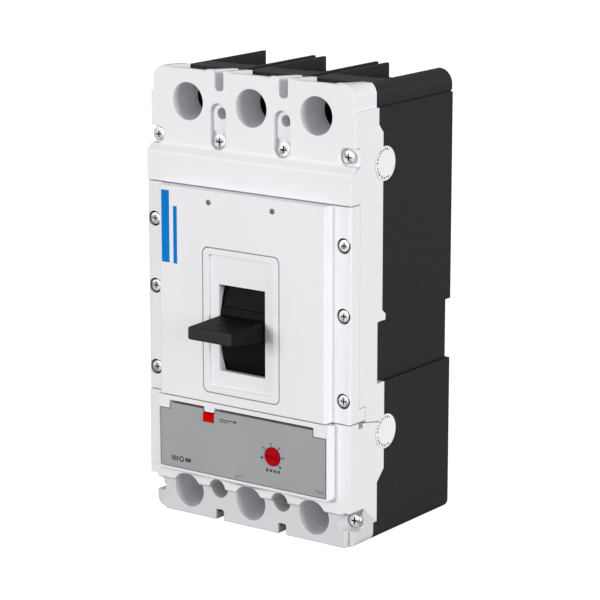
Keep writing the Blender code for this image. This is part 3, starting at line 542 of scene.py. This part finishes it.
def main_cover():
    side = [(-66.5, 67.9), (-72.6, 67.9), (DECK, 71.1), (DECK, 192.35), (STRIP, 192.35, 0.5)]
    side += [(STRIP, 209.2, 2.4), (LINE_FACE, 212.9, 3.0), (LINE_FACE, HEIGHT, 0.9)]
    side += [(-73.1, 255.4), (-73.1, 233.3), (-68.8, 228.5), (-68.8, 130.2)]
    side += [(-65.8, 127.9), (-65.8, 124.1), (-66.5, 124.1)]
    body = prism("X", side, ACROSS)
    combine(body, "INTERSECT", prism("Y", end_outline(HEIGHT, COVER_NARROW), THROUGH, 14))

    hollow = [(-60, 50), (-87.5, 50), (-87.5, 189), (-96.2, 192), (-96.2, 208), (-92, 211.5)]
    hollow += [(-92, 253.3), (-60, 251)]
    combine(body, "DIFFERENCE", prism("X", hollow, (-INNER_WALL, INNER_WALL)))

    opened = []
    for x in POLES:
        vent = [(x - 15, -92.3, 2), (x + 15, -92.3, 2), (x + 15, -60), (x - 15, -60)]
        opened.append(prism("Z", vent, (244, ABOVE)))
    combine(body, "DIFFERENCE", *opened)

    added = [rod("Y", (x, LINE_Z), (TUBE_END["line"], -93.5), LINE_RADIUS + 1.5, 64) for x in POLES]
    added += [box((x - 6.6, x + 6.6), (-73.6, -93.5), (210.5, 254.8)) for x in LINE_SCREWS]
    added += on_both_sides(lambda side: box((side * 56.5, side * 62), (-89, -93), (211, 225.5)))
    combine(body, "UNION", *added)

    cut = barrier_slots(3.1) + mounting_holes() + side_recesses(INNER_WALL - 1, RECESS_FRONT)
    for x in POLES:
        lip = [(x - 14.4, ABOVE), (x - 14.4, 256.4, 2.5), (x + 14.4, 256.4, 2.5), (x + 14.4, ABOVE)]
        cut.append(prism("Y", lip, (AHEAD, -90)))
        cut.append(rod("Y", (x, LINE_Z), (AHEAD, -60), LINE_RADIUS, 72))
    for x in LINE_SCREWS:
        outline = [(x - 5.65, 213, 5.2), (x + 5.65, 213, 5.2)]
        outline += [(x + 5.65, 238.8, 5.6), (x - 5.65, 238.8, 5.6)]
        depths = [(AHEAD, 200), (-91.1, 200), (-91.1, 221.8)]
        depths += [(-92.3, 223.9), (-92.3, 250), (AHEAD, 250)]
        stepped = prism("X", depths, (x - 20, x + 20))
        cut.append(combine(prism("Y", outline, (AHEAD, -80)), "INTERSECT", stepped))
        cut.append(rod("Y", (x, POST_SCREW_Z), (AHEAD, -60), POST_HOLE))
    for x in CORNER_SCREWS:
        inner, outer = x - math.copysign(4.9, x), math.copysign(ASIDE, x)
        pocket = [(inner, 212.8, 4.6), (outer, 212.8), (outer, 222.8), (inner, 222.8, 4.6)]
        cut.append(prism("Y", pocket, (AHEAD, -91.2)))
        cut.append(rod("Y", (x, CORNER_SCREW_Z), (AHEAD, -60), CORNER_HOLE))
    for side in SIDES:
        cut.append(box((side * 66.3, side * ASIDE), (AHEAD, -84.7), (60, 79.1)))
        cut.append(box((side * 30, side * 56), (-100, -80), (84, 165)))
        for z in ACCESSORY_SCREWS:
            cut.append(rod("Y", (side * ACCESSORY_SCREW_X, z), (-100, -82), ACCESSORY_HOLE))
    cut.append(box((-20, 20), (-100, -80), (50, 158)))
    combine(body, "DIFFERENCE", *cut)
    return finished(
        "main_cover_moulding", body, "cover_white", "housing", 0.35, ["main_cover"]
    )


def plate_corners(gap, top):
    """The trip unit's faceplate, with notches for two corner tabs and for the tab above the button."""
    low, side, tab = 29.4 - gap, 57.4 + gap, 62.9 + gap
    left_notch, right_notch = -50.4 - gap, 48.8 + gap
    middle_notch, notch_floor = (-26.5 + gap, -18.6 - gap), 65.0 + gap
    right = [(side, low), (side, tab), (right_notch, tab), (right_notch, top)]
    middle = [(middle_notch[1], top), (middle_notch[1], notch_floor)]
    middle += [(middle_notch[0], notch_floor), (middle_notch[0], top)]
    return [*right, *middle, (left_notch, top), (left_notch, tab), (-side, tab), (-side, low)]


def load_end_cover():
    side = [(-76.3, 0), (LOAD_FACE, 0, 0.8), (LOAD_FACE, 18.6, 0.8)]
    side += [(STRIP, 19.6, 0.8), (STRIP, 70.9, 0.4)]
    side += [(-91, 70.7), (-72.7, 67.5), (-66.5, 67.5), (-66.5, 39.4), (-72.9, 33.0)]
    side += [(-72.9, 10.3), (-76.3, 10.3)]
    body = prism("X", side, ACROSS)
    combine(body, "INTERSECT", prism("Y", end_outline(HEIGHT, COVER_NARROW), THROUGH, 14))
    panel = [(-59.5, 26.8, 3), (59.5, 26.8, 3), (59.5, 80), (-59.5, 80)]
    raised = prism("Y", panel, (PANEL, -97))
    soften(raised, 1.3, lambda at, way: at.y < PANEL + 0.1)
    combine(raised, "INTERSECT", box((-70, 70), (-120, -80), (0, 70.9)))
    combine(body, "UNION", raised)

    hollow = [(-60, 3.5), (-60, 90), (-96.4, 90), (-96.4, 25), (-94, 21), (-94, 3.5)]
    behind_panel = rectangle(-56, 56, 32, 90)
    combine(
        body,
        "DIFFERENCE",
        prism("X", hollow, (-INNER_WALL, INNER_WALL)),
        prism("Y", behind_panel, (PANEL_INSIDE, -90)),
    )

    added = [rod("Y", (x, LOAD_Z), (TUBE_END["load"], -95.5), LOAD_RADIUS + 2, 64) for x in POLES]
    added += [rod("Y", (x, MOUNT_Z[1]), (-76.6, -95.5), 7.4) for x in BETWEEN_POLES]
    added.append(box((-30, -17.6), (-85.2, -101.5), (55.5, 68.7)))
    added += on_both_sides(lambda side: box((side * 59, side * 61.5), (-94.5, -83.5), (8.2, 20)))
    combine(body, "UNION", *added)

    cut = barrier_slots(3.1)
    cut.append(prism("Y", plate_corners(0.5, 68.2), (AHEAD, POCKET_FLOOR)))
    cut += [rod("Y", (x, LOAD_Z), (AHEAD, -60), LOAD_RADIUS, 72) for x in POLES]
    cut += [rod("Y", (x, MOUNT_Z[1]), (AHEAD, -60), 5.7, 48) for x in BETWEEN_POLES]
    cut.append(box((-28.4, -18.6), (POCKET_FLOOR - 0.1, -87), (57.6, 66.9)))
    cut += [box(x, (-110, -96), (66.2, 68.1)) for x in ((-50.2, -27.2), (-17.9, 48.6))]
    cut.append(rod("Y", STEM, (-90, -80), 1.75))
    cut.append(rod("Y", DIAL_CENTRE, (AHEAD, -90), 3.3))
    for side in SIDES:
        x, z = side * LOAD_SCREW[0], LOAD_SCREW[1]
        step = [(side * ASIDE, -9), (side * ASIDE, 12), (side * 64.4, 12)]
        if side < 0:
            step += [(side * 64.4, -0.5, 7), (side * 56, -0.5), (side * 56, -9)]
        else:
            step.append((side * 64.4, -9))
        cut.append(prism("Y", step, (AHEAD, -93.4)))
        pocket = [(side * ASIDE, 9.4), (side * ASIDE, 21.2)]
        pocket += [(side * 64.4, 21.2, 2), (side * 64.4, 18.5)]
        for turn in (66, 54, 42, 30, 18, 6, -6, -18, -30, -42, -54, -66, -90):
            angle = math.radians(turn)
            from_axis = LOAD_SCREW[0] - LOAD_POCKET_RADIUS * math.cos(angle)
            pocket.append((side * from_axis, z + LOAD_POCKET_RADIUS * math.sin(angle)))
        cut.append(prism("Y", pocket, (AHEAD, -86)))
        cut.append(rod("Y", (x, z), (-90, -60), LOAD_HOLE))
        cut.append(box((side * 60, side * ASIDE), (-91, -87), (67.4, 72)))
        cut.append(box((side * (HALF - 0.5), side * ASIDE), (-89, -75), (54.2, 54.9)))
    combine(body, "DIFFERENCE", *cut)
    piece = finished(
        "load_end_cover_moulding", body, "cover_white", "housing", 0.35, ["load_end_cover"]
    )
    # The lower block's faces, outside the tubes, get painted shade: a darker copy of the cover's white.
    tube = LOAD_RADIUS + 0.2

    def painted_shade_on_block(at):
        from_tube = min(math.hypot(at.x - x, at.z - LOAD_Z) for x in POLES)
        return at.z < BLOCK_TOP and from_tube > tube

    paint_light_and_shade(piece, "block_white", painted_shade_on_block)


def accessory_cover():
    low, high = LOAD_SEAM + GAP, LINE_SEAM - GAP
    profile = [(-HALF, -85), (-HALF, STRIP, 1.6), (-57.9, STRIP, 0.9), (-57.2, PANEL, 1.7)]
    profile += [(-u, *rest) for u, *rest in reversed(profile)]
    body = prism("Z", profile, (low, high), 8)
    opening = rectangle(-26.55, 26.55, 76.95, 160.35, 3.9)
    cut = [
        box((-80, 80), (DECK - GAP, -80), (78.8, 200)),
        box((-66.6, 66.6), (DECK - GAP, -80), (60, 200)),
        box((-59, 59), (-97, -80), (74.5, 189.3)),
        box((-55, 55), (-102.9, -90), (74.5, 188)),
        prism("Y", opening, (AHEAD, -95)),
    ]
    for z in ACCESSORY_SCREWS:
        for x in (-ACCESSORY_SCREW_X, ACCESSORY_SCREW_X):
            cut.append(rod("Y", (x, z), (AHEAD, -96.8), 4.35))
            cut.append(rod("Y", (x, z), (AHEAD, -80), ACCESSORY_HOLE))
    combine(body, "DIFFERENCE", *cut)
    return finished(
        "accessory_cover_moulding", body, "cover_white", "housing", 0.16, ["accessory_cover"]
    )


def toggle_escutcheon():
    outline = rectangle(-25.9, 25.9, 77.6, 159.7, 3.4)
    recess = rectangle(-22.1, 22.1, 81.2, 156.4, 2)
    body = prism("Y", outline, (-105.5, -101))
    added = on_both_sides(lambda side: box((side * 15.8, side * 18.6), (-102, -94.5), (88.8, 141.5)))
    added.append(box((-28.5, 28.5), (-102.6, -100.9), (75.2, 162.2)))
    combine(body, "UNION", *added)
    combine(
        body,
        "DIFFERENCE",
        prism("Y", recess, (AHEAD, -104.1)),
        box((-15.8, 15.8), (AHEAD, -90), (90.5, 139.8)),
        rod("X", HANDLE_PIVOT, (-19, 19), 65.9, 180),
    )
    return finished(
        "escutcheon_moulding", body, "cover_white", "housing", 0.2, ["toggle_escutcheon"]
    )


# What is printed or stuck on.

PLATE_FRONT = PANEL + 0.1
MARK_DEPTH = (PLATE_FRONT - 0.07, PLATE_FRONT + 0.02)
PRINT_DEPTH = (PANEL + 0.03, PANEL + 0.12)


def flat_marks(name, shapes, material, body):
    """Thin flat shapes, none of which overlap, as one piece."""
    joined = bmesh.new()
    for shape in shapes:
        joined.from_mesh(shape.data)
        bpy.data.objects.remove(shape)
    finished(name, solid(name, joined), material, body, 0)


def mark(x, z):
    return box(x, MARK_DEPTH, z)


def ring_mark(centre, radii):
    inside = rod("Y", centre, (PLATE_FRONT - 5, PLATE_FRONT + 5), radii[0])
    return combine(rod("Y", centre, MARK_DEPTH, radii[1]), "DIFFERENCE", inside)


def faceplate():
    body = prism("Y", plate_corners(0, 66.8), (PLATE_FRONT, POCKET_FLOOR - GAP))
    combine(
        body,
        "DIFFERENCE",
        box((-26.8, -19.3), (AHEAD, -90), (59.5, 66)),
        rod("Y", DIAL_CENTRE, (AHEAD, -90), 5.45, 64),
    )
    finished(
        "faceplate", body, "plate_grey", "housing", 0.25, ["trip_unit_faceplate"], triangles=False
    )


def dial_scale():
    """Plain tick marks round the dial, longer at both ends of its range."""
    made = []
    x, z = DIAL_CENTRE
    for step in range(6):
        angle = math.radians(192 - 47.4 * step)
        tick = box((5.9, 6.5), PRINT_DEPTH, (-0.34, 0.34))
        tick.data.transform(Matrix.Translation((0, 0, -FLOOR)))
        tick.data.transform(Matrix.Rotation(-angle, 4, "Y"))
        tick.data.transform(Matrix.Translation(place(x, 0, z)))
        made.append(tick)
        dot = (x + 7.5 * math.cos(angle), z + 7.5 * math.sin(angle))
        made.append(rod("Y", dot, PRINT_DEPTH, 0.75 if step in (0, 5) else 0.55, 16))
    return made


def plate_marks():
    """Generic marks where the faceplate carries print: an arrow, three plain symbols and short bars."""
    made = dial_scale()
    made += [mark((-15.2, -5.0), (62.2, 62.8)), mark((-15.2, -9.8), (61.0, 61.5))]
    arrow = [(-5.0, 61.5), (-3.0, 62.5), (-5.0, 63.5)]
    made.append(prism("Y", arrow, PRINT_DEPTH))
    for x in (-49.4, -47.8, -46.2):
        made.append(mark((x, x + 1.0), (33.2, 36.0)))
    made.append(ring_mark((-42.5, 34.6), (1.0, 1.75)))
    made.append(mark((-39.8, -35.8), (33.6, 35.8)))
    made += [mark((x, x + 1.6), (38.1, 39.8)) for x in (17.2, 19.8, 22.4, 25.0)]
    made += [mark((50.6, 56.4), (32.6, 32.9)), mark((52.4, 56.4), (31.6, 31.9))]
    made += [mark((-3.4, -3.1), (30.0, 32.0)), mark((-3.1, 0.6), (31.75, 32.0))]
    flat_marks("faceplate_marks", made, "print_dark", "housing")


def panel_stripes():
    depth = (PANEL - 0.08, PANEL + 0.02)
    stripes = [box((-55, -49.5), depth, (148, 189.1)), box((-46.7, -44.1), depth, (147.9, 180.6))]
    flat_marks("panel_stripes", stripes, "stripe_blue", "housing")


def panel_pegs():
    for side, x in zip(("left", "right"), (-21.8, 21.8)):
        profile = [(0, PANEL - 0.35), (1.1, PANEL - 0.3), (1.55, PANEL - 0.05)]
        profile += [(1.75, PANEL + 0.05), (1.75, PANEL + 0.5), (0, PANEL + 0.5)]
        peg = turned(x, 185.3, profile)
        finished(f"panel_peg_{side}", peg, "peg_grey", "housing", 0.08)


def seal_label(name, y, z, radius):
    """A round tamper seal on the right side: a film disc and two arcs of plain dashes."""
    face = HALF + 0.42
    disc = rod("X", (y, z), (HALF + 0.05, face), radius, 96)
    finished(f"{name}_seal_film", disc, "label_grey", "housing", 0.1, [f"{name}_seal_label"])
    marks = []
    for first, last, count in ((66, 172, 9), (196, 290, 8)):
        for step in range(count):
            angle = math.radians(first + (last - first) * step / (count - 1))
            length = (-0.65, 0.65 if step % 3 else 0.2)
            dash = box((face - 0.02, face + 0.03), (-0.42, 0.42), length)
            dash.data.transform(Matrix.Translation((0, 0, -FLOOR)))
            dash.data.transform(Matrix.Rotation(angle - math.pi / 2, 4, "X"))
            around = (y + 0.84 * radius * math.cos(angle), z + 0.84 * radius * math.sin(angle))
            dash.data.transform(Matrix.Translation(place(0, *around)))
            marks.append(dash)
    flat_marks(f"{name}_seal_marks", marks, "print_dark", "housing")


# Fasteners.


def screw(name, x, z, front, head, shank, back, dome=0.25):
    """A screw with a cross recess, its head given as (radius, height), domed by dome at its rim."""
    radius, height = head
    seat = front + height
    profile = [(0, front)]
    for step in range(1, 7):
        turn = math.pi / 2 * step / 6
        domed = front + dome * (1 - math.cos(turn)) ** 1.6
        profile.append((radius * math.sin(turn) ** 0.55, domed))
    profile += [(radius, seat), (shank, seat)]
    y = seat + 4
    while y < back - 2:
        profile += [(shank, y), (shank * 0.84, y + 0.5)]
        y += 1.0
    profile += [(shank, back - 0.8), (shank * 0.5, back), (0, back)]
    body = turned(x, z, profile, 40)
    arm, half, floor = radius * 0.52, radius * 0.12, front + 1.9
    across = rectangle(x - arm, x + arm, z - half, z + half, 0.2)
    up = rectangle(x - half, x + half, z - arm, z + arm, 0.2)
    depth = (front - 3, floor)
    combine(body, "DIFFERENCE", prism("Y", across, depth), prism("Y", up, depth))
    piece = finished(f"{name}_turned", body, "zinc_steel", "housing", 0, [name])

    def painted_shade_in_recess(at):
        return math.hypot(at.x - x, at.z - z) < arm and front + 0.3 < at.y < floor + 0.05

    # The faces inside the cross recess take the dark material: painted shade.
    paint_light_and_shade(piece, "print_dark", painted_shade_in_recess)


def painted_shade_ring(number, x, z):
    """A dark ring round an accessory cover screw's head: painted shade in the gap of its counterbore.
    """
    profile = [(3.5, -98.0), (4.3, -98.0), (4.3, -96.9), (3.5, -96.9), (3.5, -98.0)]
    finished(f"screw_shade_ring_{number}", turned(x, z, profile), "toggle_black", "housing", 0)


def cover_screws():
    number = 0
    for z in ACCESSORY_SCREWS:
        for x in (-ACCESSORY_SCREW_X, ACCESSORY_SCREW_X):
            number += 1
            screw(f"accessory_cover_screw_{number}", x, z, -98.9, (3.35, 1.8), 1.35, -84)
            painted_shade_ring(number, x, z)
    for number, x in enumerate(LINE_SCREWS, 1):
        screw(f"main_cover_screw_{number}", x, POST_SCREW_Z, -93.6, (4.2, 2.1), 2.0, -54)
    for number, x in enumerate(CORNER_SCREWS, 3):
        screw(f"main_cover_screw_{number}", x, CORNER_SCREW_Z, -93.6, (3.7, 2.0), 1.6, -56)
    for number, side in enumerate(SIDES, 1):
        x, z = side * LOAD_SCREW[0], LOAD_SCREW[1]
        screw(f"load_cover_screw_{number}", x, z, -88.6, (4.1, 2.4), 1.2, -56, 1.4)


# What the hand moves.


def toggle_handle():
    low, high = -SHIELD_HALF_ANGLE, SHIELD_HALF_ANGLE
    body = prism("X", arc_points(SHIELD_RADII, low, high, 60), (-17, 17))
    lever_side = [(-101.2, 110.3), (-134, 114.5), (-134, 121.7), (-101.2, 122.7)]
    lever = prism("X", lever_side, (-14.9, 14.9))
    soften(lever, 1.3, lambda at, way: at.y < -103, 6)
    boss = arc_points((64.6, 66.7), math.radians(-16.5), math.radians(10.4), 40)
    combine(body, "UNION", prism("X", boss, (-15.2, 15.2)), lever)
    piece = finished(
        "toggle_handle_moulding", body, "toggle_black", "handle", 0.4, ["toggle_handle"]
    )
    # The lever's end face takes a lighter black: painted light, with a coarser grain.
    paint_light_and_shade(piece, "toggle_end", lambda at: at.y < -133.2)


def trip_button():
    body = prism("Y", rectangle(-26.5, -19.6, 59.8, 64.7, 0.4), (-106.2, -101.5))
    combine(
        body,
        "UNION",
        box((-28.0, -19.0), (-102.8, -101), (58.0, 66.4)),
        rod("Y", STEM, (-101.4, -46.4), 1.3, 32),
    )
    finished(
        "trip_button_moulding", body, "button_red", "trip_button", 0.3, ["push_to_trip_button"]
    )


def trip_dial():
    x, z = DIAL_CENTRE
    profile = [(0, -105.9), (4.6, -105.9), (5.0, -105.75), (5.15, -105.4)]
    profile += [(5.15, -103.5), (3.0, -103.5), (3.0, -88), (0, -88)]
    body = turned(x, z, profile, 72)
    arrow = [(x - 3.9, z - 0.75), (x + 2.4, z - 0.75), (x + 2.4, z - 1.5), (x + 4.1, z)]
    arrow += [(x + 2.4, z + 1.5), (x + 2.4, z + 0.75), (x - 3.9, z + 0.75)]
    combine(body, "DIFFERENCE", prism("Y", arrow, (-110, -104.7)))
    finished(
        "trip_dial_moulding", body, "dial_red", "dial", 0.12, ["trip_adjust_dial"], False
    )


# The button's spring, with smooth wire in place of the frame's coarse one.

POINTS_PER_TURN = 16


def coil(name, radius, wire, turns, start_at, end_at):
    """A coil of round wire between two points in metres."""
    axis = end_at - start_at
    across = axis.orthogonal().normalized()
    up = axis.normalized().cross(across)
    curve = bpy.data.curves.new(name, "CURVE")
    curve.dimensions = "3D"
    curve.bevel_depth = wire * MM / 2
    curve.bevel_resolution = 2
    curve.use_fill_caps = True
    spline = curve.splines.new("POLY")
    count = turns * POINTS_PER_TURN
    spline.points.add(count)
    for index, point in enumerate(spline.points):
        angle = 2 * math.pi * index / POINTS_PER_TURN
        out = (across * math.cos(angle) + up * math.sin(angle)) * radius * MM
        point.co = (*(start_at + axis * index / count + out), 1)
    made = bpy.data.objects.new(name, curve)
    bpy.context.scene.collection.objects.link(made)
    graph = bpy.context.evaluated_depsgraph_get()
    mesh = bpy.data.meshes.new_from_object(made.evaluated_get(graph))
    bpy.data.objects.remove(made)
    piece = bpy.data.objects.new(name, mesh)
    bpy.context.scene.collection.objects.link(piece)
    return piece


def button_spring():
    back, front = place(STEM[0], -87.6, STEM[1]), place(STEM[0], -100.3, STEM[1])
    piece = coil("button_spring_wire", 2.0, 0.5, 6, back, front)
    finished("button_spring_wire", piece, "spring_steel", "housing", 0, ["button_spring"])


def dress_frame_nodes():
    """The inner pieces keep the frame's own shapes, with rounded edges and their own metals."""
    slots = {row["node"]: row["material_slot"] for row in frame["record"]["subparts"]}
    for name, node in frame["nodes"].items():
        if node.hide_render:
            continue
        node.data.materials.clear()
        node.data.materials.append(MATERIALS[slots[name]])
        node.data.shade_smooth()
        node.data.set_sharp_from_angle(angle=FRAME_SHARP_ABOVE)
        if slots[name] == "spring_steel":
            continue
        weld = node.modifiers.new("Weld", "WELD")
        weld.merge_threshold = WELD_WITHIN
        bevel = node.modifiers.new("Edges", "BEVEL")
        bevel.width = 0.2 * MM
        bevel.segments = 2
        bevel.limit_method = "ANGLE"
        bevel.angle_limit = SMOOTH_BELOW


# The studio.

# Each glow of the sky: where it comes from, and its strength from the side and head on.
SKY = (
    ((-0.3, -1.0, 0.0), 0.02, 0.5),
    ((1.0, -0.2, 0.0), 0.02, 0.6),
    ((-0.2, 1.0, 0.1), 0.0, 0.55),
)
FLOOR_GLOW, FLOOR_SIZE, FLOOR_DROP = 0.92, 8, 0.0002
SUN_SPREAD = 24

# The camera, solved from the photo's outline, seams and holes: metres, degrees and millimetres.
CAMERA_AT, CAMERA_DOWN, CAMERA_TURN = (0.85117, -1.22702, 0.33373), 13.163, 35.86
SENSOR, LENS = 36, 157.73


def camera():
    made = bpy.data.objects.new("camera", bpy.data.cameras.new("camera"))
    bpy.context.scene.collection.objects.link(made)
    made.location = CAMERA_AT
    made.rotation_euler = (math.radians(90 - CAMERA_DOWN), 0, math.radians(CAMERA_TURN))
    made.data.sensor_width = SENSOR
    made.data.lens = LENS
    bpy.context.scene.camera = made


def sky():
    """A soft dome, bright to the object's front, right and back, and dim overhead."""
    world = bpy.data.worlds.new("studio")
    bpy.context.scene.world = world
    world.use_nodes = True
    tree = world.node_tree
    background = tree.nodes["Background"]
    background.inputs["Color"].default_value = (1, 1, 1, 1)
    where = tree.nodes.new("ShaderNodeTexCoord")
    total = None
    for direction, low, high in SKY:
        facing = tree.nodes.new("ShaderNodeVectorMath")
        facing.operation = "DOT_PRODUCT"
        facing.inputs[1].default_value = Vector(direction).normalized()
        tree.links.new(where.outputs["Generated"], facing.inputs[0])
        spread = tree.nodes.new("ShaderNodeMapRange")
        spread.interpolation_type = "SMOOTHSTEP"
        spread.inputs["To Min"].default_value = low
        spread.inputs["To Max"].default_value = high
        tree.links.new(facing.outputs["Value"], spread.inputs["Value"])
        if total is None:
            total = spread.outputs["Result"]
            continue
        added = tree.nodes.new("ShaderNodeMath")
        added.operation = "ADD"
        tree.links.new(total, added.inputs[0])
        tree.links.new(spread.outputs["Result"], added.inputs[1])
        total = added.outputs["Value"]
    tree.links.new(total, background.inputs["Strength"])


def sun(name, towards, strength):
    data = bpy.data.lights.new(name, "SUN")
    data.energy = strength
    data.angle = math.radians(SUN_SPREAD)
    made = bpy.data.objects.new(name, data)
    bpy.context.scene.collection.objects.link(made)
    made.rotation_euler = Vector(towards).to_track_quat("-Z", "Y").to_euler()


def studio():
    bm = bmesh.new()
    bmesh.ops.create_grid(bm, x_segments=1, y_segments=1, size=FLOOR_SIZE)
    bmesh.ops.translate(bm, vec=(0, 0, FLOOR - FLOOR_DROP), verts=bm.verts)
    floor = solid("floor", bm)
    grey = (0.4, 0.4, 0.4)
    material, tree, shader = nodes_for("floor_white", grey, 0.9, Specular_IOR_Level=0.0)
    tree.links.new(ramp(tree, noise(tree, 60.0), 0.39, 0.41), shader.inputs["Base Color"])
    shader.inputs["Emission Color"].default_value = (1, 1, 1, 1)
    shader.inputs["Emission Strength"].default_value = FLOOR_GLOW
    floor.data.materials.append(material)
    only_floor = bpy.data.collections.new("lit by the floor's glow")
    only_floor.objects.link(floor)
    floor.light_linking.receiver_collection = only_floor
    sky()
    sun("key", (0.35, 1.0, -0.2), 1.87)
    sun("fill", (-1.0, 0.1, -0.2), 2.05)
    bpy.context.scene.view_settings.view_transform = "Standard"


base_housing()
main_cover()
load_end_cover()
accessory_cover()
toggle_escutcheon()
faceplate()
plate_marks()
panel_stripes()
panel_pegs()
seal_label("upper", -67.5, 211.3, 9.5)
seal_label("lower", -65.3, 60.8, 9.75)
cover_screws()
toggle_handle()
trip_button()
trip_dial()
button_spring()
dress_frame_nodes()
camera()
studio()
